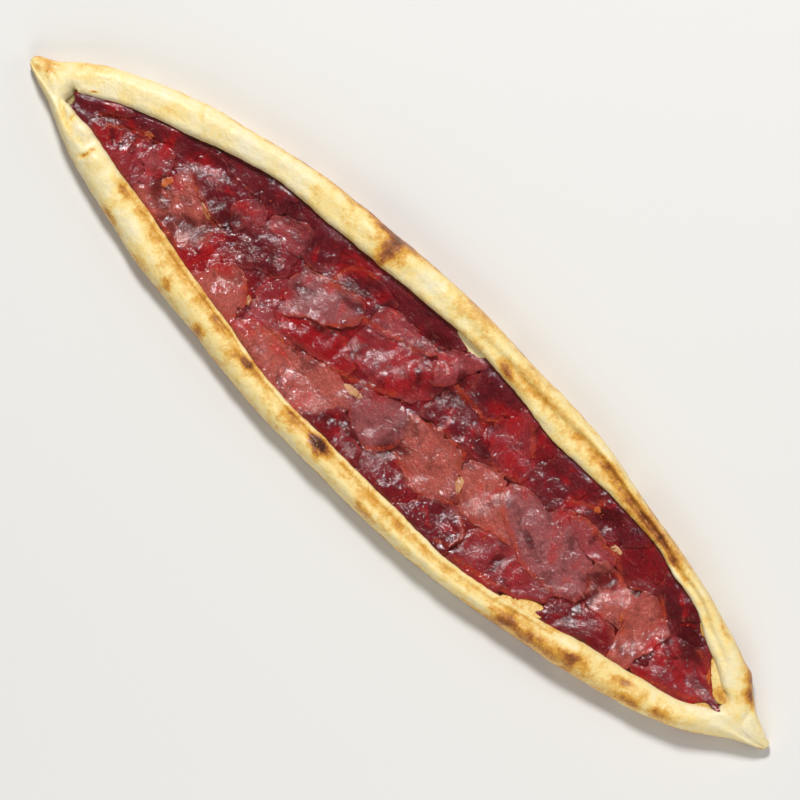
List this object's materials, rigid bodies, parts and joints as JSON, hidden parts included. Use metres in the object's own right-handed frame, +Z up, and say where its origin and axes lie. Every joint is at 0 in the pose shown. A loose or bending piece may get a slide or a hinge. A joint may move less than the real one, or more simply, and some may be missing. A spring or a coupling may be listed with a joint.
{
  "type": "turkish pide",
  "caption": "Boat-shaped Turkish flatbread with a rolled rim and pinched tips, filled with overlapping thin slices of cured beef.",
  "frame": {"origin": "centre of the bounding box in plan, on the flat underside", "axes": "+X along the boat from the blunt tip to the narrow tip, +Z up out of the filling"},
  "size_m": [0.52, 0.1206, 0.021],
  "materials": {
    "baked_dough": "baked bread crust, cream to golden with brown patches, dry and softly rough",
    "cured_beef": "thin cured beef, deep red and oily, glossy in patches"
  },
  "bodies": {
    "root": {"crust": "baked_dough", "bed_01": "cured_beef", "bed_02": "cured_beef", "bed_03": "cured_beef", "bed_04": "cured_beef", "bed_05": "cured_beef", "bed_06": "cured_beef", "bed_07": "cured_beef", "bed_08": "cured_beef", "bed_09": "cured_beef", "bed_10": "cured_beef", "slice_01": "cured_beef", "slice_02": "cured_beef", "slice_03": "cured_beef", "slice_04": "cured_beef", "slice_05": "cured_beef", "slice_06": "cured_beef", "slice_07": "cured_beef", "slice_08": "cured_beef", "slice_09": "cured_beef", "slice_10": "cured_beef", "slice_11": "cured_beef", "slice_12": "cured_beef", "slice_13": "cured_beef", "slice_14": "cured_beef", "slice_15": "cured_beef", "slice_16": "cured_beef", "slice_17": "cured_beef", "slice_18": "cured_beef", "slice_19": "cured_beef", "slice_20": "cured_beef", "slice_21": "cured_beef", "slice_22": "cured_beef", "slice_23": "cured_beef", "slice_24": "cured_beef", "slice_25": "cured_beef", "slice_26": "cured_beef", "slice_27": "cured_beef", "slice_28": "cured_beef", "slice_29": "cured_beef", "slice_30": "cured_beef", "slice_31": "cured_beef", "slice_32": "cured_beef", "slice_33": "cured_beef", "slice_34": "cured_beef", "slice_35": "cured_beef", "slice_36": "cured_beef", "slice_37": "cured_beef", "slice_38": "cured_beef", "slice_39": "cured_beef", "slice_40": "cured_beef", "slice_41": "cured_beef", "slice_42": "cured_beef", "slice_43": "cured_beef", "slice_44": "cured_beef", "slice_45": "cured_beef", "slice_46": "cured_beef", "slice_47": "cured_beef", "slice_48": "cured_beef", "slice_49": "cured_beef"}
  },
  "joints": []
}
